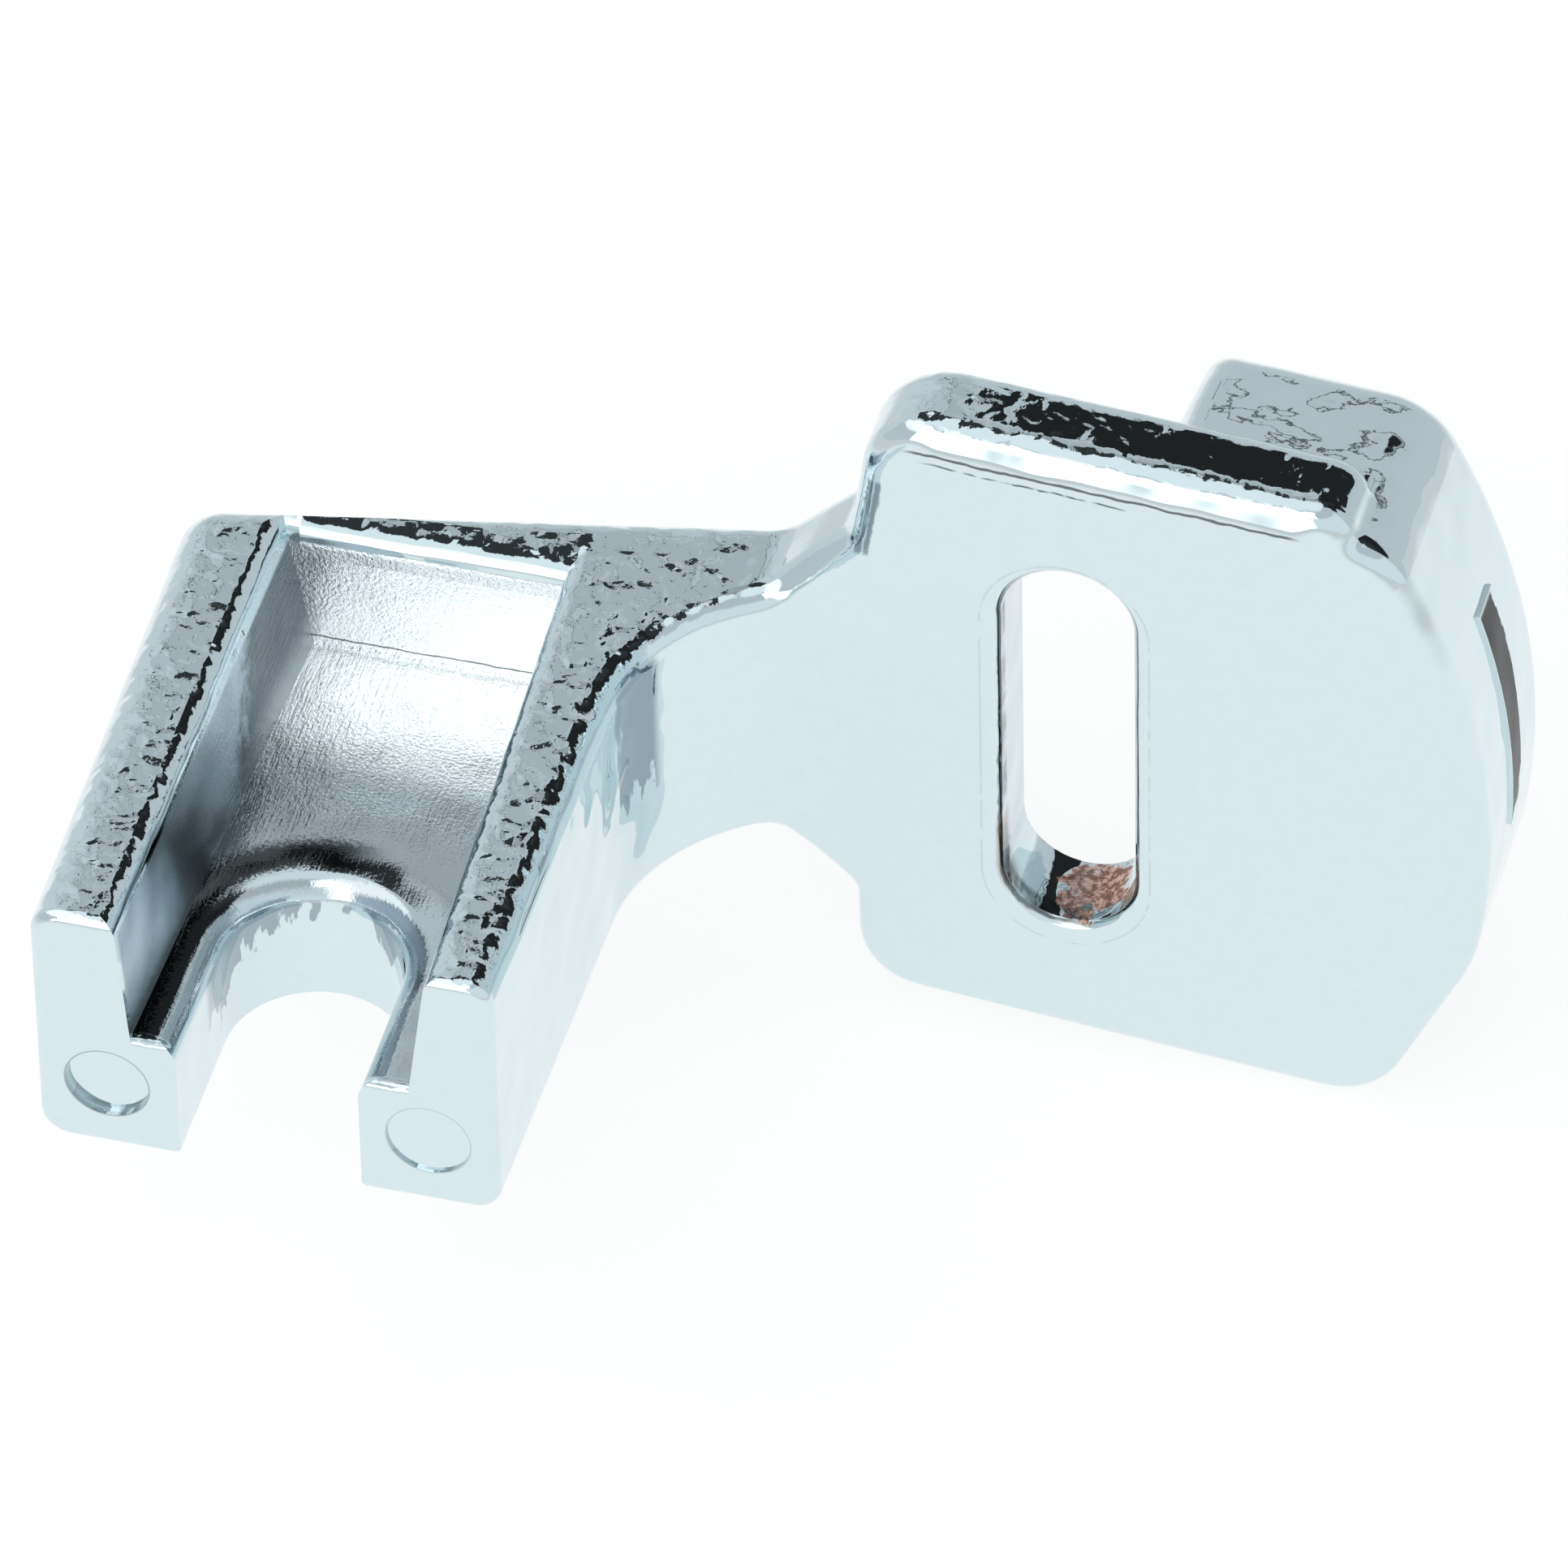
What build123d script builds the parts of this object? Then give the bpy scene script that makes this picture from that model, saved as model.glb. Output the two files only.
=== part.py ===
from build123d import *
from math import cos, radians, sqrt, tan
import os

# Sewing machine presser foot, one die casting. Millimetres, +Z up.
# Origin: centre of the screw slot, on the face of the plate that seats on the presser bar.
# X runs from the toe block to the lip, and -Y is the open front of the pocket.

# Shank plate and its raised pad
plate_thickness = 3.05
plate_left = 6.45
plate_top = 11.8
plate_bottom = 11.15
plate_top_slope = 4.5
plate_bottom_slope = 5.5
plate_left_lean = 8.3
plate_top_corner_radius = 2.5
plate_bottom_corner_radius = 2.1
pad_end_inset = 4.45
pad_step = 0.9
pad_step_angle = 60.0
pad_end_radius = 1.25
pad_foot_radius = 0.5

# Screw slot through the plate
slot_width = 4.0
slot_length = 13.9
slot_front_bevel = 0.45
slot_back_bevel = 0.15

# Rounded right side, shared by the plate and the lip
side_radius = 22.8
side_reach = 12.55
side_crown_height = -1.5
chamfer_angle = 25.5
chamfer_start = -6.1
chamfer_corner_radius = 6.0
shoulder_radius = 2.6
side_corner_radius = 2.2

# Lip that hooks behind the presser bar
lip_depth = 4.05
lip_root = 1.5
lip_left = 2.3
lip_draft = 5.0
lip_edge_radius = 0.85

# Toe block
block_length = 20.86
block_left = 25.9
block_width = 13.73
sole_height = -4.42
rail_height = 8.88
side_draft = 0.75
top_draft = 1.43
rear_skew = 11.1
rear_corner_radius = 1.3
rear_bend_radius = 8.0

# Pocket between the rails
pocket_depth = 4.44
pocket_rear_wall = 3.62
left_rail_width = 2.55
right_rail_width = 1.96
left_wall_angle = 4.3
right_wall_angle = 7.7
left_floor_taper = 1.7
right_floor_taper = 3.8
left_rim_taper = 0.1
right_rim_taper = 1.6
pocket_rim_radius = 0.55
pocket_rear_rim_radius = 0.8

# Notch between the toes, for the needle
notch_width = 5.42
notch_offset = 6.93
notch_straight = 4.6
notch_rim_radius = 0.75
notch_sole_bevel = 0.3
notch_brim = 0.1

# Neck between the block and the plate
neck_radius = 6.0
flare_run = 2.45
upper_flare_rise = 2.3
lower_flare_drop = 2.55
flare_radius = 1.2
flare_overlap = 1.0

# Ejector pin marks on the toe ends
ejector_radius = 1.25
ejector_height = 2.48
left_ejector_depth = 0.25
right_ejector_depth = 0.1

# Trimmed flash left on the parting line of the right side
flash_height = 0.1
flash_width = 1.45
flash_foot_width = 1.0
flash_top = 5.42
flash_foot = -1.0
flash_bottom = -2.6

# Edge rounding
front_edge_radius = 0.75
back_edge_radius = 0.9
toe_face_radius = 0.35

# Reach of the cutting shapes past the surface, and passes that settle the shoulder
margin = 5.0
shoulder_passes = 12

pad_end = side_reach - pad_end_inset
notch_centre = block_left - notch_offset
block_right = block_width - block_left
block_top = sole_height + rail_height
neck_top = block_top + tan(radians(top_draft)) * (block_length - plate_thickness)
floor_height = block_top - pocket_depth
notch_radius = notch_width / 2


def round_corners(face, points, radius):
    """Round the corners of a flat profile that lie nearest to the given points."""
    corners = [face.vertices().sort_by_distance(Vector(*point, 0))[0] for point in points]
    return fillet(corners, radius)


def nearest_edges(solid, points):
    """The edges of a solid that pass nearest to the given points, each once."""
    edges = ShapeList()
    for point in points:
        nearest = solid.edges().sort_by(lambda edge: edge.distance_to(Vector(*point)))[0]
        if nearest not in edges:
            edges.append(nearest)
    return edges


def round_edges(solid, points, radius):
    """Round the edges that pass nearest to the given points."""
    return fillet(nearest_edges(solid, points), radius)


def bevel_edges(solid, points, length):
    """Bevel the edges that pass nearest to the given points."""
    return chamfer(nearest_edges(solid, points), length)


def top_line(x, drop=0.0):
    """Height of the sloped top of the plate, or of a line below it."""
    return plate_top - drop - tan(radians(plate_top_slope)) * x


def bottom_line(x):
    """Height of the sloped bottom of the plate."""
    return -plate_bottom - tan(radians(plate_bottom_slope)) * x


def side_x(z):
    """Outline of the rounded right side at a height."""
    return side_reach - side_radius + sqrt(side_radius ** 2 - (z - side_crown_height) ** 2)


def shoulder_point():
    """Where the right side meets the line of the lip's top, before rounding."""
    z = plate_top
    for _ in range(shoulder_passes):
        z = top_line(side_x(z), pad_step)
    return side_x(z), z


def bottom_point():
    """Where the slanted edge meets the plate's bottom, before rounding."""
    lean = tan(radians(chamfer_angle))
    fall = tan(radians(plate_bottom_slope))
    x = (side_x(chamfer_start) - lean * (chamfer_start + plate_bottom)) / (1 + lean * fall)
    return x, bottom_line(x)


def right_sided_face(left_points):
    """Flat profile closed on the right by the rounded side; left points run from bottom to top."""
    shoulder = shoulder_point()
    bottom = bottom_point()
    chamfer_top = (side_x(chamfer_start), chamfer_start)
    mid_z = (shoulder[1] + chamfer_start) / 2
    outline = Polyline(chamfer_top, bottom, *left_points, shoulder)
    outline += ThreePointArc(shoulder, (side_x(mid_z), mid_z), chamfer_top)
    face = make_face(outline)
    face = round_corners(face, [shoulder], shoulder_radius)
    face = round_corners(face, [chamfer_top], chamfer_corner_radius)
    return round_corners(face, [bottom], side_corner_radius)


def pad_face(top_left):
    """Front view of the raised pad, from the plate's top left corner to its sloped end."""
    depth = 2 * pad_step
    run = depth / tan(radians(pad_step_angle + plate_top_slope))
    end = (pad_end, top_line(pad_end))
    corners = (top_left, end, (end[0] + run, end[1] - depth), (0, end[1] - depth))
    return make_face(Polyline(*corners, close=True))


def plate_face():
    """Front view of the plate with the flares that run into the neck."""
    hidden = flare_run + flare_overlap
    upper = upper_flare_rise / flare_run
    lower = lower_flare_drop / flare_run
    flare_top = neck_top + upper_flare_rise
    flare_bottom = sole_height - lower_flare_drop
    left = tan(radians(plate_left_lean)) * (plate_top - flare_top) - plate_left
    left_points = (
        (-plate_left, bottom_line(-plate_left)),
        (-plate_left, flare_bottom),
        (-plate_left - hidden, flare_bottom + lower * hidden),
        (-plate_left - hidden, flare_top - upper * hidden),
        (-plate_left, flare_top),
        (left, top_line(left)),
        (0, top_line(0, pad_step)),
    )
    face = right_sided_face(left_points) + pad_face(left_points[5])
    foot = (pad_end + pad_step / tan(radians(pad_step_angle)), top_line(pad_end, pad_step))
    face = round_corners(face, [left_points[5]], plate_top_corner_radius)
    face = round_corners(face, [left_points[0]], plate_bottom_corner_radius)
    face = round_corners(face, [(pad_end, top_line(pad_end))], pad_end_radius)
    face = round_corners(face, [foot], pad_foot_radius)
    return round_corners(face, [left_points[1], left_points[4]], flare_radius)


def plan_face():
    """Plan view of block, neck and plate: drafted sides, concave neck and skewed rear."""
    draft = tan(radians(side_draft))
    neck_start = -plate_thickness - neck_radius
    neck_x = block_right + draft * (neck_start + block_length)
    bend = neck_radius * (1 - cos(radians(45)))
    arc_end = (neck_x + neck_radius, -plate_thickness)
    far_left = -block_left - draft * (block_length - plate_thickness)
    rear_x = -plate_left - flare_run / 2
    rear_left = (far_left, tan(radians(rear_skew)) * (far_left - rear_x))
    right = side_reach + margin
    outline = Polyline(
        (neck_x, neck_start),
        (block_right, -block_length),
        (-block_left, -block_length),
        rear_left,
        (rear_x, 0),
        (right, 0),
        (right, -plate_thickness),
        arc_end,
    )
    outline += ThreePointArc(arc_end, (neck_x + bend, -plate_thickness - bend), (neck_x, neck_start))
    face = round_corners(make_face(outline), [rear_left], rear_corner_radius)
    return round_corners(face, [(rear_x, 0)], rear_bend_radius)


def block_slab():
    """The block's level sole and drafted top, over the whole length of block and neck."""
    rise = tan(radians(top_draft))
    side_view = make_face(
        Polyline(
            (-block_length - margin, sole_height),
            (margin, sole_height),
            (margin, block_top + rise * (block_length + margin)),
            (-block_length - margin, block_top - rise * margin),
            close=True,
        )
    )
    slab = extrude(Plane.YZ * side_view, block_left + margin - plate_left)
    return Pos(-block_left - margin, 0, 0) * slab


def body():
    """Block, neck and plate in one, with the outer edges rounded."""
    plan = extrude(plan_face(), 2 * (plate_top + margin), both=True)
    plate = extrude(Plane.XZ * plate_face(), plate_thickness + neck_radius)
    solid = plan & (block_slab() + plate)
    flare_foot = -plate_left - flare_run
    solid = round_edges(solid, [(flare_foot, -plate_thickness / 2, neck_top)], flare_radius)
    solid = round_edges(solid, [(flare_foot, -plate_thickness / 2, sole_height)], flare_radius)
    solid = round_edges(solid, [(0, -plate_thickness, top_line(0))], front_edge_radius)
    return round_edges(solid, [(0, 0, top_line(0))], back_edge_radius)


def lip():
    """The lip behind the plate: the same right side, with a drafted left face."""
    left = lip_left - margin
    face = right_sided_face(((left, bottom_line(left)), (left, top_line(left, pad_step))))
    hook = extrude(Plane.XZ * face, lip_depth + lip_root, dir=(0, 1, 0))
    hook = Pos(0, -lip_root, 0) * hook
    lean = tan(radians(lip_draft))
    keep = make_face(
        Polyline(
            (lip_left - lean * margin, -margin),
            (side_reach + margin, -margin),
            (side_reach + margin, lip_depth + margin),
            (lip_left + lean * (lip_depth + margin), lip_depth + margin),
            close=True,
        )
    )
    hook = hook & extrude(keep, 2 * (plate_top + margin), both=True)
    back_left = lip_left + lean * lip_depth
    middle = (lip_left + side_reach) / 2
    edges = (
        (middle, lip_depth, top_line(middle, pad_step)),
        (back_left, lip_depth, 0),
        (lip_left, 0, top_line(lip_left, pad_step)),
        (lip_left, 0, bottom_line(lip_left)),
    )
    return round_edges(hook, edges, lip_edge_radius)


def flash():
    """Thin raised land of trimmed flash along the parting line of the right side."""
    outer = side_radius + flash_height
    centre = (side_reach - side_radius, side_crown_height)
    ring = Pos(*centre) * (Circle(outer) - Circle(side_radius - margin))
    bar = extrude(Plane.XZ * ring, flash_width, dir=(0, 1, 0))
    top = ((0, flash_top), (flash_width, flash_top))
    side_view = make_face(Polyline(*top, (flash_foot_width, flash_foot), (0, flash_bottom), close=True))
    return bar & extrude(Plane.YZ * side_view, side_reach + margin)


def pocket_section(y):
    """Section across the pocket at a distance from the front, floor first."""
    back = y + block_length
    height = block_top + tan(radians(top_draft)) * back - floor_height
    rim_left = left_rail_width - block_left + tan(radians(left_rim_taper)) * back
    rim_right = block_right - right_rail_width - tan(radians(right_rim_taper)) * back
    lean_left = tan(radians(left_wall_angle)) * pocket_depth
    lean_right = tan(radians(right_wall_angle)) * pocket_depth
    floor_left = left_rail_width - block_left + lean_left + tan(radians(left_floor_taper)) * back
    floor_right = block_right - right_rail_width - lean_right - tan(radians(right_floor_taper)) * back
    grow = (height + margin) / height
    top_left = floor_left + (rim_left - floor_left) * grow
    top_right = floor_right + (rim_right - floor_right) * grow
    top = floor_height + height + margin
    floor = ((floor_left, floor_height), (floor_right, floor_height))
    section = make_face(Polyline(*floor, (top_right, top), (top_left, top), close=True))
    return Pos(0, y, 0) * (Plane.XZ * section)


def pocket_flange():
    """Slab over the block top, so that the pocket's rim can be rounded with the cutter."""
    rise = tan(radians(top_draft))
    front = block_top - rise * margin
    rear = block_top + rise * block_length
    corners = ((-block_length - margin, front), (0, rear), (0, rear + margin))
    side_view = make_face(Polyline(*corners, (-block_length - margin, rear + margin), close=True))
    slab = extrude(Plane.YZ * side_view, block_width + margin)
    return Pos(-block_left - margin, 0, 0) * slab


def pocket():
    """Open pocket between the rails, narrower and steeper towards its rear wall."""
    front = pocket_section(-block_length - margin)
    rear = pocket_section(-pocket_rear_wall)
    cutter = loft([front, rear], ruled=True) + pocket_flange()
    half = block_length / 2
    rise = tan(radians(top_draft))
    left = left_rail_width - block_left + tan(radians(left_rim_taper)) * half
    right = block_right - right_rail_width - tan(radians(right_rim_taper)) * half
    middle = (left + right) / 2
    rear_rim = (middle, -pocket_rear_wall, block_top + rise * (block_length - pocket_rear_wall))
    cutter = round_edges(cutter, [rear_rim], pocket_rear_rim_radius)
    rim_height = block_top + rise * half
    return round_edges(cutter, [(left, -half, rim_height), (right, -half, rim_height)], pocket_rim_radius)


def notch():
    """Needle notch, open to the front, with the rims that it leaves in the floor and the sole."""
    length = notch_straight + margin
    start_y = -block_length - margin
    straight = Pos(-notch_centre, start_y + length / 2) * Rectangle(notch_width, length)
    end = Pos(-notch_centre, -block_length + notch_straight) * Circle(notch_radius)
    outline = straight + end
    brim = extrude(offset(outline, notch_rim_radius + notch_brim), margin)
    cutter = extrude(outline, 2 * margin, both=True)
    cutter = cutter + Pos(0, 0, floor_height) * brim + Pos(0, 0, sole_height - margin) * brim
    end_y = notch_straight + notch_radius - block_length
    cutter = round_edges(cutter, [(-notch_centre, end_y, floor_height)], notch_rim_radius)
    return bevel_edges(cutter, [(-notch_centre, end_y, sole_height)], notch_sole_bevel)


def screw_slot():
    """Screw slot through the plate, round at both ends."""
    face = Rot(0, 0, 90) * SlotOverall(slot_length, slot_width)
    return extrude(Plane.XZ * face, 2 * margin, both=True)


def ejector_mark(x, depth):
    """Shallow round recess left by an ejector pin on a toe end."""
    face = Pos(x, sole_height + ejector_height) * Circle(ejector_radius)
    return Pos(0, -block_length, 0) * extrude(Plane.XZ * face, depth, both=True)


def round_toe_outline(solid):
    """Soften the outline of the block's front face, before it is cut into two toes."""
    return fillet(solid.edges().group_by(Axis.Y)[0], toe_face_radius)


def bevel_slot(solid):
    """Bevel the front and back rims of the screw slot."""
    slot_side = slot_width / 2
    solid = bevel_edges(solid, [(slot_side, -plate_thickness, 0)], slot_front_bevel)
    return bevel_edges(solid, [(-slot_side, 0, 0)], slot_back_bevel)


def casting():
    """The whole casting: solid body, lip, openings, rounded rims and mould marks."""
    solid = round_toe_outline(body()) + lip() - pocket()
    solid = round_edges(solid, [(-notch_centre, -block_length, floor_height)], toe_face_radius)
    solid = solid - notch() - screw_slot()
    solid = bevel_slot(solid)
    left_toe = -(block_left + notch_centre + notch_radius) / 2
    right_toe = (block_right - notch_centre + notch_radius) / 2
    solid = solid - ejector_mark(left_toe, left_ejector_depth)
    solid = solid - ejector_mark(right_toe, right_ejector_depth)
    return solid + flash()


part = casting()
print(part.bounding_box(), part.volume, len(part.solids()), part.is_valid)
os.makedirs("parts", exist_ok=True)
export_step(part, "parts/presser_foot.step")
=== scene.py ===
import math

import bpy
from mathutils import Matrix, Vector


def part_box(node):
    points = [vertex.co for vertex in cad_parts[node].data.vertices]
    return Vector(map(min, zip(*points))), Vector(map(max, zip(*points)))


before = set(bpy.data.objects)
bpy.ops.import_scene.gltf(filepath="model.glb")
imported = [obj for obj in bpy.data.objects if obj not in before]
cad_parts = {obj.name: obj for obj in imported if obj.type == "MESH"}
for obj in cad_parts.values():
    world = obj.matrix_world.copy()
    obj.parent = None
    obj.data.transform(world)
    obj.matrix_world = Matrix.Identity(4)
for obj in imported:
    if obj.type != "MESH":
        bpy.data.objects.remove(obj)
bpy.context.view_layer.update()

MM = 0.001
scene = bpy.context.scene
scene.view_settings.view_transform = "Standard"
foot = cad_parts["presser_foot"]

# Camera
VIEW_AZIMUTH = 15.9
VIEW_ELEVATION = 43.65
VIEW_ROLL = 1.3
VIEW_DISTANCE = 498.9 * MM
VIEW_TARGET = Vector((-4.17, -18.2, 12.0)) * MM
IMAGE_SIZE = 1932
FOCAL_PIXELS = 21950.0
SENSOR = 36.0
NEAREST = 0.05
FARTHEST = 20.0


def make_camera():
    """Long lens camera, turned about its own axis as the photo is."""
    azimuth = math.radians(VIEW_AZIMUTH)
    elevation = math.radians(VIEW_ELEVATION)
    roll = math.radians(VIEW_ROLL)
    level_right = Vector((math.cos(azimuth), math.sin(azimuth), 0))
    ahead = Vector(
        (
            -math.sin(azimuth) * math.cos(elevation),
            math.cos(azimuth) * math.cos(elevation),
            -math.sin(elevation),
        )
    )
    level_up = level_right.cross(ahead)
    right = math.cos(roll) * level_right - math.sin(roll) * level_up
    up = math.sin(roll) * level_right + math.cos(roll) * level_up
    data = bpy.data.cameras.new("camera")
    data.sensor_width = SENSOR
    data.lens = SENSOR * FOCAL_PIXELS / IMAGE_SIZE
    data.clip_start = NEAREST
    data.clip_end = FARTHEST
    camera = bpy.data.objects.new("camera", data)
    scene.collection.objects.link(camera)
    axes = Matrix((right, up, -ahead)).transposed()
    camera.matrix_world = Matrix.Translation(VIEW_TARGET - ahead * VIEW_DISTANCE) @ axes.to_4x4()
    scene.camera = camera


class Graph:
    """Short ways to add nodes to a node tree."""

    def __init__(self, tree):
        self.tree = tree

    def node(self, kind, **settings):
        made = self.tree.nodes.new(kind)
        for name, value in settings.items():
            setattr(made, name, value)
        return made

    def feed(self, socket, value):
        if isinstance(value, bpy.types.NodeSocket):
            self.tree.links.new(value, socket)
        else:
            socket.default_value = value

    def math(self, operation, *values):
        made = self.node("ShaderNodeMath", operation=operation)
        for socket, value in zip(made.inputs, values):
            self.feed(socket, value)
        return made.outputs[0]

    def vector(self, operation, *values):
        made = self.node("ShaderNodeVectorMath", operation=operation)
        for socket, value in zip(made.inputs, values):
            self.feed(socket, value)
        return made.outputs["Vector"]

    def length(self, vector):
        made = self.node("ShaderNodeVectorMath", operation="LENGTH")
        self.feed(made.inputs[0], vector)
        return made.outputs["Value"]

    def scaled(self, vector, factor):
        made = self.node("ShaderNodeVectorMath", operation="SCALE")
        self.feed(made.inputs[0], vector)
        self.feed(made.inputs["Scale"], factor)
        return made.outputs["Vector"]

    def join(self, x, y, z):
        made = self.node("ShaderNodeCombineXYZ")
        for socket, value in zip(made.inputs, (x, y, z)):
            self.feed(socket, value)
        return made.outputs[0]

    def split(self, vector):
        made = self.node("ShaderNodeSeparateXYZ")
        self.feed(made.inputs[0], vector)
        return made.outputs

    def mix(self, factor, first, second):
        made = self.node("ShaderNodeMix", data_type="FLOAT")
        self.feed(made.inputs["Factor"], factor)
        self.feed(made.inputs[2], first)
        self.feed(made.inputs[3], second)
        return made.outputs[0]

    def ramp(self, value, start, end, first, last):
        """Smooth change from first to last while the value goes from start to end."""
        made = self.node("ShaderNodeMapRange", interpolation_type="SMOOTHSTEP")
        for name, number in zip(("From Min", "From Max", "To Min", "To Max"), (start, end, first, last)):
            made.inputs[name].default_value = number
        self.feed(made.inputs["Value"], value)
        return made.outputs["Result"]

    def blend(self, factor, first, second):
        made = self.node("ShaderNodeMix", data_type="RGBA")
        self.feed(made.inputs["Factor"], factor)
        self.feed(made.inputs[6], first)
        self.feed(made.inputs[7], second)
        return made.outputs[2]

    def step(self, value, start, end):
        """Smooth rise from 0 at start to 1 at end."""
        return self.ramp(value, start, end, 0.0, 1.0)

    def hold(self, value):
        """The value, kept between 0 and 1."""
        return self.math("MINIMUM", self.math("MAXIMUM", value, 0.0), 1.0)

    def most(self, *values):
        """The largest of the values."""
        total = values[0]
        for value in values[1:]:
            total = self.math("MAXIMUM", total, value)
        return total

    def share(self, value, factor):
        return self.math("MULTIPLY", value, factor)

    def within(self, value, half, soft):
        """1 up to a distance on both sides of zero, 0 beyond, with soft edges."""
        return self.step(self.math("ABSOLUTE", value), half + soft, half - soft)

    def window(self, value, low, high, soft):
        """1 between two bounds, 0 outside, with soft edges."""
        rise = self.step(value, low - soft, low + soft)
        fall = self.step(value, high + soft, high - soft)
        return self.math("MULTIPLY", rise, fall)

    def noise(self, where, scale, detail, roughness, distortion=0.0):
        made = self.node("ShaderNodeTexNoise")
        self.feed(made.inputs["Vector"], where)
        made.inputs["Scale"].default_value = scale
        made.inputs["Detail"].default_value = detail
        made.inputs["Roughness"].default_value = roughness
        made.inputs["Distortion"].default_value = distortion
        return made.outputs["Fac"]


# Studio round the object, painted in order. Azimuth 0 is +Y and 90 is +X.
# Centre azimuth, half width, lowest and highest elevation, soft edge, level
ZONES = (
    ("grey wall", -17, 12, 35, 60, 2, 0.54),
    ("left wall", -62, 22, -10, 60, 3, 0.74),
    ("left softbox", -125, 42, 30, 90, 4, 1.35),
    ("ceiling", 0, 200, 68, 100, 5, 1.00),
    ("grey header", 0, 26, 57, 67, 1.5, 0.42),
    ("front strip", -172, 18, -12, 64, 1.5, 1.90),
    ("right wall", 132, 52, -20, 40, 5, 0.88),
    ("lit right edge", 60, 14, -20, 28, 3, 0.66),
    ("black flag", 38, 35, 31, 58, 1.2, 0.02),
    ("flag head", 48, 26, 50, 64, 1.2, 0.04),
    ("dark header", -40, 29, 55, 72, 1.5, 0.04),
    ("left seam", -27, 0.5, 22, 60, 0.3, 0.12),
    ("wall seam", -21, 0.35, 22, 40, 0.3, 0.25),
    ("low seam", -20, 45, 29.4, 30.2, 0.2, 0.15),
)
WALL_LOW = 0.66
WALL_HIGH = 0.62
WALL_CHANGE = (10.0, 40.0)
WHITE_FROM = 0.9
WHITE_FULL = 1.3
HALF_TURN = 180.0
PALE = (0.95, 1.0, 1.04, 1)
WHITE = (1, 1, 1, 1)


def make_world():
    """Studio of pale walls, white softboxes and a black flag, white where the camera looks."""
    world = bpy.data.worlds.new("studio")
    scene.world = world
    world.use_nodes = True
    tree = world.node_tree
    tree.nodes.clear()
    graph = Graph(tree)
    x, y, z = graph.split(graph.node("ShaderNodeTexCoord").outputs["Generated"])
    azimuth = graph.math("DEGREES", graph.math("ARCTAN2", x, y))
    elevation = graph.math("DEGREES", graph.math("ARCSINE", z))
    level = graph.ramp(elevation, *WALL_CHANGE, WALL_LOW, WALL_HIGH)
    for name, centre, half, low, high, soft, strength in ZONES:
        turned = graph.math("WRAP", graph.math("SUBTRACT", azimuth, centre), HALF_TURN, -HALF_TURN)
        above = graph.math("SUBTRACT", elevation, (low + high) / 2)
        mask = graph.math(
            "MULTIPLY",
            graph.within(turned, half, soft),
            graph.within(above, (high - low) / 2, soft),
        )
        level = graph.mix(mask, level, strength)
    at_camera = graph.node("ShaderNodeLightPath").outputs["Is Camera Ray"]
    lit = graph.node("ShaderNodeBackground")
    bright = graph.most(graph.step(level, WHITE_FROM, WHITE_FULL), at_camera)
    graph.feed(lit.inputs["Color"], graph.blend(bright, PALE, WHITE))
    graph.feed(lit.inputs["Strength"], graph.mix(at_camera, level, 1.0))
    output = graph.node("ShaderNodeOutputWorld")
    tree.links.new(lit.outputs[0], output.inputs["Surface"])


def new_material(name, kind):
    """Empty node material with its graph and its output node."""
    material = bpy.data.materials.new(name)
    material.use_nodes = True
    material.node_tree.nodes.clear()
    graph = kind(material.node_tree)
    return material, graph, graph.node("ShaderNodeOutputMaterial")


FLOOR_GAP = 0.2 * MM
FLOOR_REACH = 3.0
FLOOR_COLOUR = (0.25, 0.25, 0.25, 1)
FLOOR_GLOW = (0.815, 0.815, 0.815, 1)
GLOW_FADE = (0.045, 0.15)
GLOW_FAR = 0.68


def make_floor():
    """White floor just under the object, which keeps a faint shadow."""
    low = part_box("presser_foot")[0][2] - FLOOR_GAP
    mesh = bpy.data.meshes.new("floor")
    sides = ((-1, -1), (1, -1), (1, 1), (-1, 1))
    corners = [(x * FLOOR_REACH, y * FLOOR_REACH, low) for x, y in sides]
    mesh.from_pydata(corners, [], [(0, 1, 2, 3)])
    floor = bpy.data.objects.new("floor", mesh)
    scene.collection.objects.link(floor)
    material, graph, output = new_material("floor_white", Graph)
    diffuse = graph.node("ShaderNodeBsdfDiffuse")
    diffuse.inputs["Color"].default_value = FLOOR_COLOUR
    path = graph.node("ShaderNodeLightPath").outputs
    seen = graph.most(path["Is Glossy Ray"], path["Is Transmission Ray"])
    spread = graph.length(graph.node("ShaderNodeNewGeometry").outputs["Position"])
    far = graph.ramp(spread, *GLOW_FADE, 1.0, GLOW_FAR)
    glow = graph.node("ShaderNodeEmission")
    glow.inputs["Color"].default_value = FLOOR_GLOW
    graph.feed(glow.inputs["Strength"], graph.most(graph.share(seen, far), path["Is Camera Ray"]))
    total = graph.node("ShaderNodeAddShader")
    graph.tree.links.new(diffuse.outputs[0], total.inputs[0])
    graph.tree.links.new(glow.outputs[0], total.inputs[1])
    graph.tree.links.new(total.outputs[0], output.inputs["Surface"])
    mesh.materials.append(material)


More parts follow.
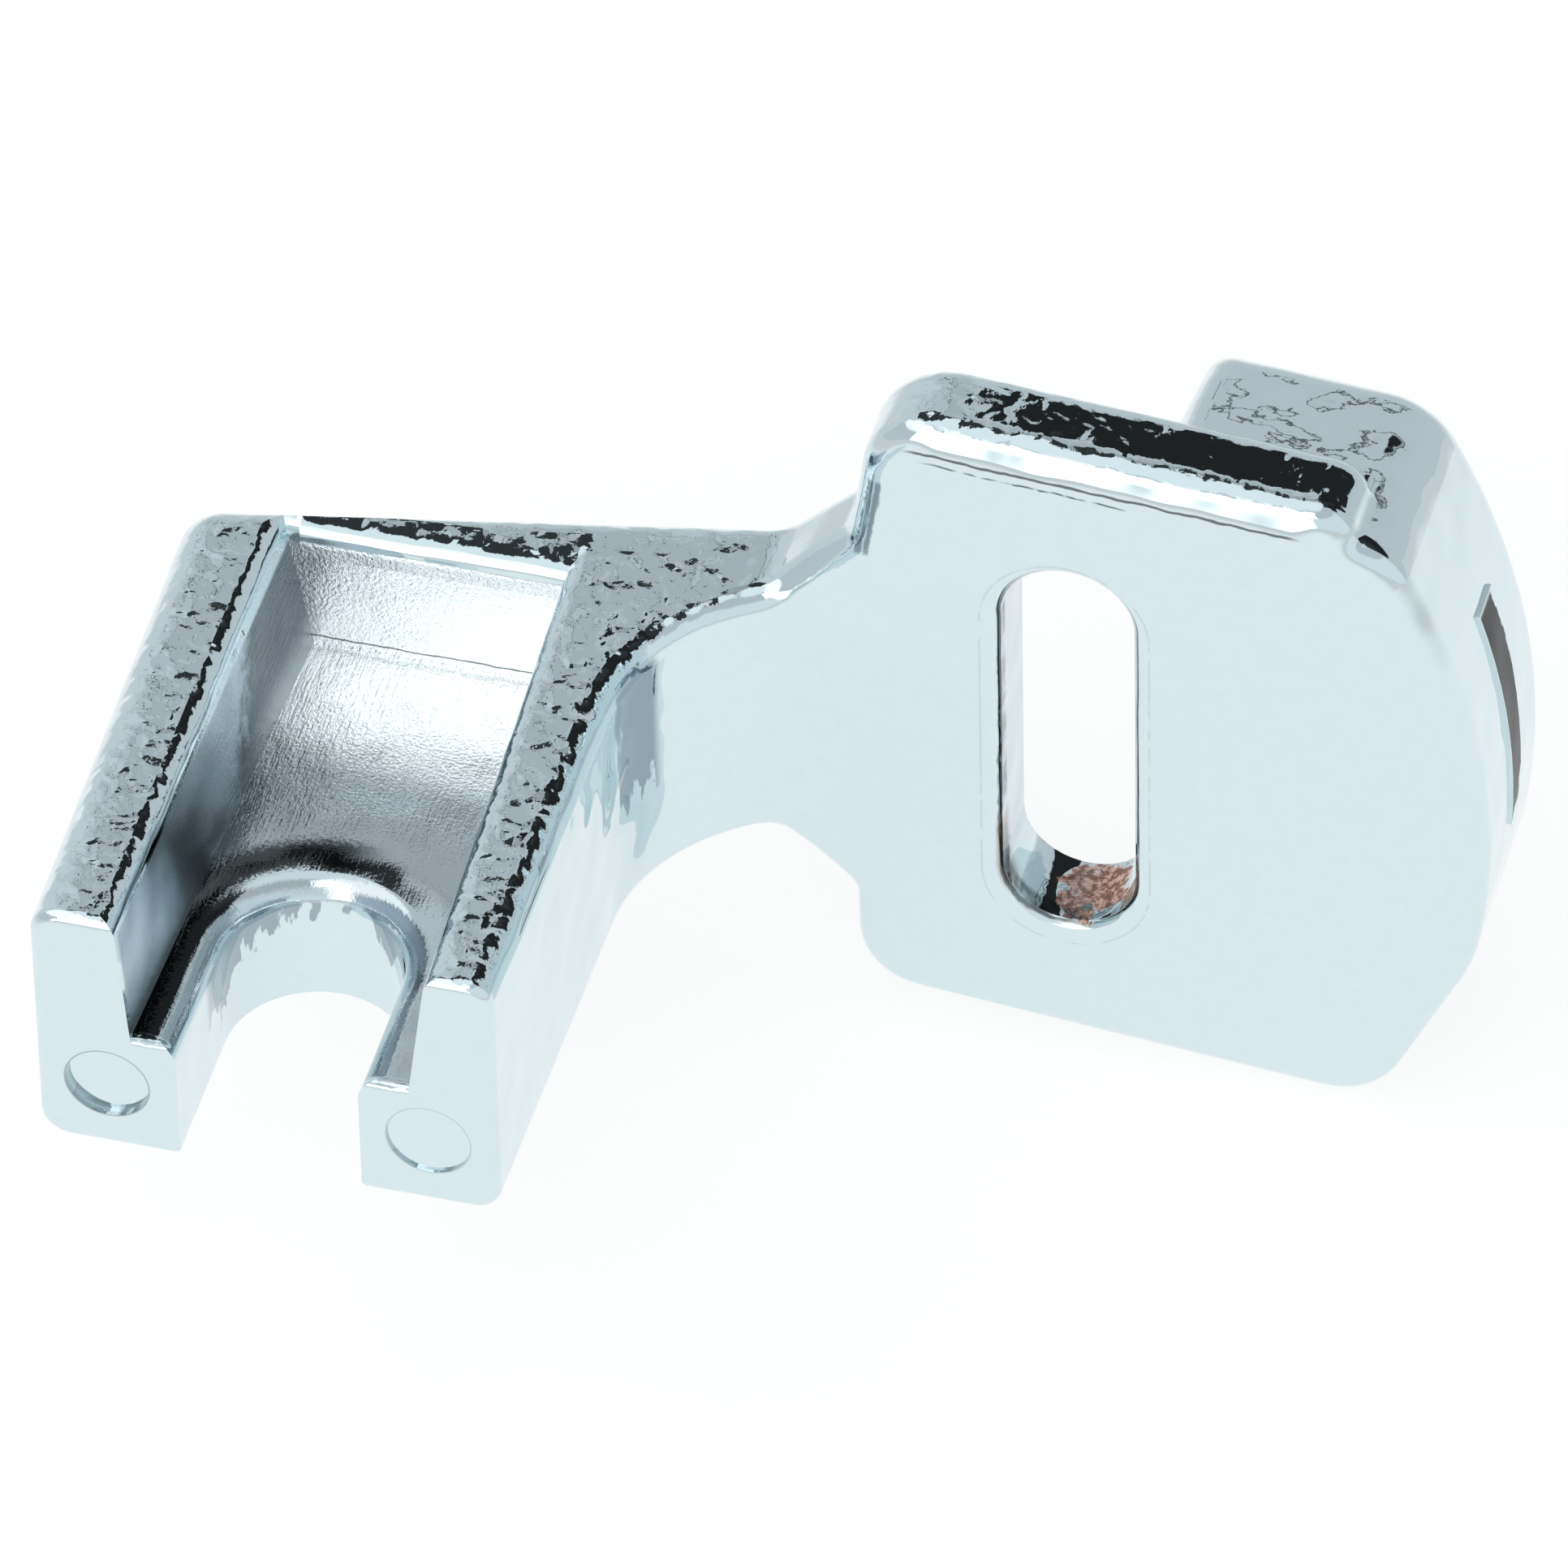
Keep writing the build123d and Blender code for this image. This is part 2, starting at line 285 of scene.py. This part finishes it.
# Colours of the plating, of its faults, and of reflections and shade painted on it
CHROME = (0.69, 0.80, 0.825, 1)
CHROME_SPOTS = (0.62, 0.72, 0.75, 1)
POCKET_REAR = (0.90, 0.94, 0.95, 1)
POCKET_FRONT = (0.58, 0.66, 0.69, 1)
# Reflections painted on the pocket's left wall, dark at the rear and pale at the front
WALL_REAR_PAINTED_REFLECTION = (0.09, 0.115, 0.14, 1)
WALL_FRONT_PAINTED_REFLECTION = (0.62, 0.70, 0.77, 1)
# Reflection painted on the slot's walls, darker and bluer than the plating
SLOT_WALL_PAINTED_REFLECTION = (0.54, 0.61, 0.70, 1)
# Reflections painted as dark ragged patches at the notch and the neck
PATCH_PAINTED_REFLECTION = (0.27, 0.33, 0.38, 1)
# Reflection painted as a dark double stroke at the plate's left edge
HOOK_PAINTED_REFLECTION = (0.20, 0.25, 0.28, 1)
# Thin dark lines: painted shade in the pocket's rear crease and round the ejector marks, painted
# reflections on the plate, and the crescent by the notch
THIN_LINE = (0.03, 0.035, 0.035, 1)
COPPER = (0.90, 0.59, 0.49, 1)
COPPER_DARK = (0.30, 0.15, 0.11, 1)
COPPER_BEAD = (0.28, 0.32, 0.32, 1)
STAIN = (0.22, 0.15, 0.12, 1)
CUT_METAL = (0.022, 0.026, 0.028, 1)

# Roughness of the bright plating, and what faults add to it
BRIGHT = 0.02
ROUGH_FAULT = 0.30
ROUGH_WALL = 0.30
ROUGH_BRUSHED = 0.12
ROUGH_SLOT = 0.20

# Height of the skin's unevenness, in millimetres
PEEL_HEIGHT = 0.105
GRAIN_HEIGHT = 0.007
WAVE_HEIGHT = 0.10
STROKE_HEIGHT = 0.030
GRIT_HEIGHT = 0.022
CRUST_HEIGHT = 0.09
PEEL_LEAST = 0.15

# Places on the casting, in millimetres
BLOCK_END = -8.4
PAD_TOP = 11.80
PAD_SLOPE = math.tan(math.radians(4.5))
SLOT_HALF = 2.0
SLOT_STRAIGHT = 4.95
SLOT_BEVEL = 0.45
FRONT_ROUND = 1.3
REAR_RIM_START = -2.8
REAR_RIM_DEPTH = 0.82
NOTCH_X = -18.97
NOTCH_Y = -16.26
MARK_RADIUS = 1.26
MARK_HEIGHT = -1.94
COPPER_X = 0.45
COPPER_Y = -1.35
BEAD_X = 0.38
BEAD_Y = -2.01

# Ejector marks: middle along X, and how dark the painted shade ring round each is
TOE_MARKS = ((-23.79, 0.5), (-14.215, 0.25))

# Boxes that bound the regions, in millimetres
LEFT_RAIL = {"x": (-27, -22.9), "y": (-22, 0)}
RIGHT_RAIL = {"x": (-14.8, -11.6), "y": (-22, -5)}
REAR_STRIP = {"x": (-23.2, -14.3), "y": (-3.7, 0), "z": (3, 6)}
REAR_RIM = {"x": (-22.8, -14.5), "y": (-3.66, -2.8), "z": (3.4, 6), "soft": 0.03}
NOTCH_RIM = {"x": (-23.4, -14.3), "z": (-1.2, 1), "soft": 0.05}
NOTCH_ARCH = {"x": (-23, -15), "y": (-17.6, -12.5), "soft": 0.3}
POCKET = {"x": (-23.6, -14.0), "y": (-20.65, -3.5), "z": (-0.35, 3.9), "soft": 0.12}
NECK_FACE = {"x": (-12.6, -11.35)}
PAD = {"x": (-6, 8.2), "y": (-3.2, -0.1), "z": (10, 13)}
PAD_LEAN = {"x": (-6, 8.3), "y": (-3.3, -0.05), "z": (9, 13), "soft": 0.05}
PAD_END = {"x": (6, 8.45), "y": (-2.4, -0.05), "z": (9, 13), "soft": 0.05}
SLOT_BOTTOM = {"x": (-1.9, 1.9), "z": (-7.0, -5.6)}
SLOT_STAIN = {"x": (-2.6, -1.4), "y": (-3.0, -1.9), "z": (-6.0, -3.4), "soft": 0.3}
FLASH = {"x": (10, 14), "z": (-2.7, 5.35)}
PLATE_HOOK = {"y": (-3.2, -1.5), "z": (6.7, 9.6)}


class Chrome(Graph):
    """Node tree of the plating, with the place and the facing at hand."""

    def __init__(self, tree):
        super().__init__(tree)
        place = self.node("ShaderNodeTexCoord").outputs["Object"]
        self.place = self.vector("MULTIPLY", place, (1 / MM, 1 / MM, 1 / MM))
        self.x, self.y, self.z = self.split(self.place)
        self.facing = self.node("ShaderNodeNewGeometry").outputs["Normal"]
        self.nx, self.ny, self.nz = self.split(self.facing)

    def all(self, *masks):
        total = masks[0]
        for mask in masks[1:]:
            total = self.share(total, mask)
        return total

    def inside(self, x=None, y=None, z=None, soft=0.1):
        """Mask of a box given by its bounds in millimetres."""
        parts = []
        for value, bounds in ((self.x, x), (self.y, y), (self.z, z)):
            if bounds:
                parts.append(self.window(value, bounds[0], bounds[1], soft))
        return self.all(*parts)

    def line(self, value, centre, half, soft):
        return self.within(self.math("SUBTRACT", value, centre), half, soft)


def notch_reach(c):
    """Way out from the middle line of the needle notch, level with the floor."""
    ahead = c.most(c.math("ADD", c.y, -NOTCH_Y), 0.0)
    return c.join(c.math("ADD", c.x, -NOTCH_X), ahead, 0.0)


def lean_block(c):
    """Slow leaning of the toe block's top faces, which polishing has left a little crowned."""
    top = c.step(c.nz, 0.35, 0.9)
    left_rail = c.all(c.ramp(c.x, -25.3, -23.4, -0.15, 0.14), c.inside(**LEFT_RAIL))
    right_rail = c.all(c.ramp(c.x, -14.5, -12.5, -0.13, 0.10), c.inside(**RIGHT_RAIL))
    across = c.share(c.math("ADD", left_rail, right_rail), top)
    rear = c.all(c.ramp(c.y, -3.0, -1.2, -0.15, 0.0), c.inside(**REAR_STRIP))
    near = notch_reach(c)
    sink = c.all(c.ramp(c.length(near), 3.3, 5.0, -0.30, 0.0), c.inside(**NOTCH_RIM))
    toward = c.scaled(c.vector("NORMALIZE", near), c.share(sink, top))
    return c.vector("ADD", c.join(across, c.share(rear, top), 0.0), toward)


def lean_plate(c):
    """Slow leaning of the plate's sloping top and of the lip."""
    top = c.step(c.nz, 0.35, 0.9)
    pad = c.all(c.ramp(c.x, -4.8, -1.0, -0.08, 0.17), c.inside(**PAD_LEAN))
    pad_end = c.all(c.share(c.nx, -0.8), c.inside(**PAD_END))
    behind = c.most(c.step(c.y, 0.0, 0.1), c.step(c.x, 8.25, 8.4))
    lip = c.all(behind, c.step(c.z, 6.5, 8.0), c.step(c.x, 1.5, 2.0))
    across = c.math("ADD", c.math("SUBTRACT", pad, c.share(lip, 0.135)), pad_end)
    back = c.share(lip, 0.12)
    return c.join(c.share(across, top), c.share(back, top), 0.0)


def pad_depth(c):
    """Distance below the sloping top of the plate."""
    return c.math("SUBTRACT", PAD_TOP, c.math("MULTIPLY_ADD", c.x, PAD_SLOPE, c.z))


def slot_distance(c):
    """Distance outside the slot's rim, and the way out from the slot's middle line."""
    held = c.math("MINIMUM", c.most(c.z, -SLOT_STRAIGHT), SLOT_STRAIGHT)
    spoke = c.join(c.x, 0.0, c.math("SUBTRACT", c.z, held))
    return c.math("SUBTRACT", c.length(spoke), SLOT_HALF), c.vector("NORMALIZE", spoke)


def rest_of_unit(c, value):
    """The other leg of a right triangle whose long side is 1."""
    return c.math("SQRT", c.math("SUBTRACT", 1.0, c.share(value, value)))


def block_normal(c):
    """Facing of the plating on the toe block, fuller at the pocket's rear rim."""
    leaning = c.vector("NORMALIZE", c.vector("ADD", c.facing, lean_block(c)))
    fall = c.hold(c.math("DIVIDE", c.math("SUBTRACT", REAR_RIM_START, c.y), REAR_RIM_DEPTH))
    pull = c.math("MULTIPLY_ADD", c.math("POWER", fall, 6.0), 0.82, 0.15)
    rim = c.join(0.0, c.share(pull, -1.0), rest_of_unit(c, pull))
    return c.vector("NORMALIZE", c.blend(c.inside(**REAR_RIM), leaning, rim))


def plate_normal(c, depth, reach, outward):
    """Facing of the plating on the plate, fuller at its front top edge and at the slot's rim."""
    leaning = c.vector("NORMALIZE", c.vector("ADD", c.facing, lean_plate(c)))
    rise = c.hold(c.math("SUBTRACT", 1.0, c.math("DIVIDE", depth, FRONT_ROUND)))
    edge = c.join(0.05, c.share(rest_of_unit(c, rise), -1.0), rise)
    on_edge = c.all(
        c.step(c.y, -2.15, -2.35),
        c.window(depth, -0.5, FRONT_ROUND + 0.05, 0.03),
        c.window(c.x, -4.3, 7.2, 0.6),
    )
    near = c.hold(c.math("SUBTRACT", 1.0, c.math("DIVIDE", reach, SLOT_BEVEL)))
    steep = c.share(c.math("POWER", near, 3.0), -2.2)
    rim = c.vector("ADD", c.scaled(outward, steep), (0.0, -1.0, 0.0))
    on_rim = c.all(c.window(reach, 0.01, SLOT_BEVEL + 0.05, 0.01), c.step(c.y, -2.5, -2.58))
    return c.vector("NORMALIZE", c.blend(on_rim, c.blend(on_edge, leaning, edge), rim))


def skin_height(c, amount):
    """Orange peel on the top faces and slow waves all over."""
    upward = c.step(c.nz, 0.5, 0.92)
    blobs = c.noise(c.place, 1.7, 0.6, 0.45, 0.3)
    grains = c.noise(c.place, 7.0, 1.0, 0.5)
    waves = c.noise(c.place, 0.6, 0.0, 0.5)
    peel = c.math("MULTIPLY_ADD", grains, GRAIN_HEIGHT, c.share(blobs, PEEL_HEIGHT))
    return c.math("MULTIPLY_ADD", waves, WAVE_HEIGHT, c.all(peel, upward, amount))


def peel_amount(c, mask):
    """Orange peel at full height in a mask, and a little of it elsewhere."""
    return c.math("MULTIPLY_ADD", mask, 1.0 - PEEL_LEAST, PEEL_LEAST)


def plating_shader(c, colour, rough, height, normal):
    """Metal of one colour and roughness, uneven by a height in millimetres."""
    bump = c.node("ShaderNodeBump")
    bump.inputs["Strength"].default_value = 1.0
    bump.inputs["Distance"].default_value = MM
    c.feed(bump.inputs["Height"], height)
    c.feed(bump.inputs["Normal"], normal)
    shader = c.node("ShaderNodeBsdfPrincipled")
    shader.inputs["Metallic"].default_value = 1.0
    c.feed(shader.inputs["Base Color"], colour)
    c.feed(shader.inputs["Roughness"], rough)
    c.feed(shader.inputs["Normal"], bump.outputs[0])
    return shader.outputs[0]


def plain_colour(c, spots):
    """Bright plating with faint spots."""
    return c.blend(c.share(c.step(spots, 0.45, 0.62), 0.10), CHROME, CHROME_SPOTS)


def wandering(c):
    """Small slow shift that keeps thin lines from being straight."""
    slow = c.noise(c.place, 1.2, 2.0, 0.6)
    return c.share(c.math("SUBTRACT", slow, 0.5), 0.18)


def painted_reflection_patches(c):
    """Painted reflections: dark ragged patches under the rims of the notch and the neck."""
    tongues = c.noise(c.vector("MULTIPLY", c.place, (1.6, 1.6, 0.5)), 1.0, 3.0, 0.55)
    hang = c.math("MULTIPLY_ADD", tongues, 4.5, c.z)
    aside = c.math("ABSOLUTE", c.math("ADD", c.x, -NOTCH_X))
    arch_hang = c.math("MULTIPLY_ADD", c.math("SUBTRACT", aside, 2.0), 0.9, hang)
    ragged_side = c.math("MULTIPLY_ADD", tongues, 2.4, c.y)
    neck = c.all(
        c.inside(**NECK_FACE),
        c.window(ragged_side, -7.0, -4.7, 0.15),
        c.step(hang, 2.0, 2.2),
    )
    arch = c.all(
        c.inside(**NOTCH_ARCH),
        c.step(arch_hang, 0.5, 0.7),
        c.step(c.z, -0.4, -0.6),
    )
    return c.all(c.most(neck, arch), c.step(c.nz, 0.5, 0.2), 0.8)


def notch_crescent(c, grit):
    """Dark crescent on the pocket floor, above the needle notch."""
    around = c.math("MULTIPLY_ADD", c.math("SUBTRACT", grit, 0.5), 0.9, c.length(notch_reach(c)))
    return c.all(
        c.step(around, 3.55, 3.75),
        c.step(around, 5.0, 4.5),
        c.step(c.x, -17.6, -19.2),
        c.step(c.nz, 0.8, 0.9),
        c.step(c.z, 1.0, 0.6),
    )


def painted_shade_lines(c, pocket):
    """Painted shade along the crease at the pocket's rear, and painted shade rings round the ejector
    marks.
    """
    height = c.math("ADD", c.z, wandering(c))
    # Painted shade along the crease at the pocket's rear
    seam = c.all(c.line(height, 0.28, 0.03, 0.02), c.step(c.y, -3.75, -3.66), pocket)
    lines = c.share(seam, 0.82)
    for middle, strength in TOE_MARKS:
        out = c.join(c.math("SUBTRACT", c.x, middle), 0.0, c.math("SUBTRACT", c.z, MARK_HEIGHT))
        shade_ring = c.line(c.length(out), MARK_RADIUS, 0.025, 0.025)
        lines = c.most(lines, c.all(shade_ring, c.step(c.y, -20.5, -20.8), strength))
    return lines


def block_plating(c):
    """Plating of the toe block: crowned rails, brushed pocket, painted reflection patches at notch and
    neck.
    """
    pocket = c.inside(**POCKET)
    wall = c.all(pocket, c.step(c.nx, 0.75, 0.92))
    amount = c.all(
        peel_amount(c, c.step(c.x, -8.5, -10.5)),
        c.math("SUBTRACT", 1.0, pocket),
        c.ramp(c.y, -18.0, -11.0, 1.4, 1.0),
    )
    strokes = c.noise(c.vector("MULTIPLY", c.place, (9.0, 0.9, 9.0)), 1.0, 3.0, 0.6)
    grit = c.noise(c.place, 9.0, 2.0, 0.6)
    brushed = c.math("MULTIPLY_ADD", strokes, STROKE_HEIGHT, c.share(grit, GRIT_HEIGHT))
    brushed = c.share(brushed, c.ramp(c.y, -12.8, -9.5, 0.22, 1.0))
    height = c.math("MULTIPLY_ADD", brushed, pocket, skin_height(c, amount))

    # Pocket darker towards the front; its left wall has reflections painted on it, dark at the rear and
    # pale at the front
    spots = c.noise(c.place, 1.6, 3.0, 0.6)
    pocket_front_darker = c.blend(c.step(c.y, -7.5, -9.5), POCKET_REAR, POCKET_FRONT)
    colour = c.blend(pocket, plain_colour(c, spots), pocket_front_darker)
    # Painted reflections: dark ragged patches at the notch and the neck
    colour = c.blend(painted_reflection_patches(c), colour, PATCH_PAINTED_REFLECTION)
    # Reflections painted on the pocket's left wall: dark at the rear, pale at the front
    along = c.math("MULTIPLY_ADD", spots, 3.0, c.math("MULTIPLY_ADD", c.z, -0.8, c.y))
    side = c.blend(c.step(along, -8.4, -10.6), WALL_REAR_PAINTED_REFLECTION, WALL_FRONT_PAINTED_REFLECTION)
    colour = c.blend(c.share(wall, c.ramp(c.z, 0.1, 1.6, 0.55, 0.95)), colour, side)
    colour = c.blend(c.all(notch_crescent(c, grit), pocket, 0.88), colour, THIN_LINE)
    # Painted shade: dark line along the pocket's rear crease and rings round the ejector marks
    colour = c.blend(painted_shade_lines(c, pocket), colour, THIN_LINE)

    rough = c.math("MULTIPLY_ADD", pocket, c.ramp(c.y, -13.5, -9.5, 0.0, ROUGH_BRUSHED), BRIGHT)
    rough = c.math("MULTIPLY_ADD", wall, c.ramp(c.y, -8.0, -10.0, 0.0, ROUGH_WALL), rough)
    return plating_shader(c, colour, rough, height, block_normal(c))


def cut_flash(c, spots):
    """Ragged cut face of the flash on the right side."""
    return c.all(
        c.step(c.nx, 0.6, 0.8),
        c.step(c.y, 0.02, 0.06),
        c.step(c.math("MULTIPLY_ADD", spots, 0.5, c.y), 1.55, 1.45),
        c.inside(**FLASH),
    )


def painted_reflection_lines(c, depth, reach):
    """Painted reflections: thin dark lines under the plate's top edge and round the slot."""
    wander = wandering(c)
    below = c.math("ADD", depth, wander)
    on_front = c.all(c.step(c.y, -2.7, -2.85), c.step(c.ny, -0.6, -0.8))
    patchy = c.step(c.noise(c.place, 1.5, 2.0, 0.6), 0.36, 0.50)
    first = c.all(c.line(below, 1.13, 0.05, 0.025), on_front, c.window(c.x, -4.6, 6.8, 0.3))
    second = c.all(c.line(below, 1.47, 0.035, 0.02), on_front, c.window(c.x, -4.0, 1.8, 0.5), patchy)
    inner = c.all(c.line(c.math("ADD", reach, wander), 0.05, 0.055, 0.03), c.step(c.y, -2.0, -2.2))
    inner = c.share(inner, c.ramp(c.x, -1.0, 1.0, 0.9, 0.5))
    outer = c.all(c.line(reach, 0.53, 0.03, 0.03), c.step(c.y, -3.0, -3.04), patchy)
    return c.most(c.share(c.most(first, second, inner), 0.82), c.share(outer, 0.14))


def painted_edge_reflection(c, spots):
    """Painted reflection: dark double stroke down the plate's left edge, with a pale gap along it."""
    bend = c.math("SUBTRACT", c.x, c.ramp(c.z, 6.7, 9.5, -6.02, -5.62))
    bend = c.math("MULTIPLY_ADD", c.math("SUBTRACT", spots, 0.5), 0.3, bend)
    gap = c.math("SUBTRACT", 1.0, c.line(bend, 0.0, 0.03, 0.04))
    return c.all(c.line(bend, 0.0, 0.22, 0.04), c.inside(**PLATE_HOOK), gap, 0.8)


def plate_plating(c):
    """Plating of the plate and the lip: slot, bare copper, cut flash and painted reflection lines."""
    depth = pad_depth(c)
    reach, outward = slot_distance(c)
    calm = c.ramp(c.x, -3.0, 2.0, 1.0, 0.45)
    height = skin_height(c, peel_amount(c, c.share(c.inside(**PAD), calm)))

    # Bare copper where the plating failed, at the bottom of the slot, with a bead in it
    spots = c.noise(c.place, 1.6, 3.0, 0.6)
    crust = c.noise(c.place, 4.5, 3.0, 0.6)
    away = c.length(c.join(
        c.share(c.math("SUBTRACT", c.x, COPPER_X), 0.85),
        c.share(c.math("SUBTRACT", c.y, COPPER_Y), 0.80),
        0.0,
    ))
    ragged = c.math("MULTIPLY_ADD", spots, 1.6, away)
    copper = c.all(c.step(ragged, 1.78, 1.66), c.inside(**SLOT_BOTTOM))
    bare = c.all(c.step(away, 1.0, 0.8), c.step(c.z, -5.5, -5.7))
    height = c.math("MULTIPLY_ADD", c.share(crust, bare), CRUST_HEIGHT, height)
    spot = c.length(c.join(c.math("SUBTRACT", c.x, BEAD_X), c.math("SUBTRACT", c.y, BEAD_Y), 0.0))
    bead = c.all(c.step(spot, 0.20, 0.15), c.step(c.z, -6.0, -6.5))

    cut = cut_flash(c, spots)
    stain = c.all(c.line(reach, 0.0, 0.14, 0.08), c.inside(**SLOT_STAIN), 0.7)
    # Reflection painted on the slot's walls
    slot_wall = c.all(c.step(reach, 0.02, -0.02), c.step(c.z, -5.6, -5.2))
    colour = c.blend(slot_wall, plain_colour(c, spots), SLOT_WALL_PAINTED_REFLECTION)
    # Painted reflection: dark double stroke at the plate's left edge
    colour = c.blend(painted_edge_reflection(c, spots), colour, HOOK_PAINTED_REFLECTION)
    colour = c.blend(cut, colour, CUT_METAL)
    colour = c.blend(copper, colour, c.blend(c.step(crust, 0.42, 0.62), COPPER_DARK, COPPER))
    colour = c.blend(bead, colour, COPPER_BEAD)
    colour = c.blend(stain, colour, STAIN)
    # Painted reflections: thin dark lines under the top edge and round the slot
    colour = c.blend(painted_reflection_lines(c, depth, reach), colour, THIN_LINE)

    rough = c.math("MULTIPLY_ADD", c.most(copper, cut), ROUGH_FAULT, BRIGHT)
    bottom = c.all(c.step(reach, 0.0, -0.05), c.step(c.z, -5.0, -5.5), c.step(c.y, -3.3, -3.0))
    rough = c.math("MULTIPLY_ADD", bottom, ROUGH_SLOT, rough)
    return plating_shader(c, colour, rough, height, plate_normal(c, depth, reach, outward))


def chrome_material():
    """Bright plating, a little blue, with the orange peel of the casting under it."""
    material, c, output = new_material("chrome_plate", Chrome)
    joined = c.node("ShaderNodeMixShader")
    c.feed(joined.inputs[0], c.math("GREATER_THAN", c.x, BLOCK_END))
    c.feed(joined.inputs[1], block_plating(c))
    c.feed(joined.inputs[2], plate_plating(c))
    c.tree.links.new(joined.outputs[0], output.inputs["Surface"])
    return material


make_camera()
make_floor()
make_world()
foot.data.materials.clear()
foot.data.materials.append(chrome_material())
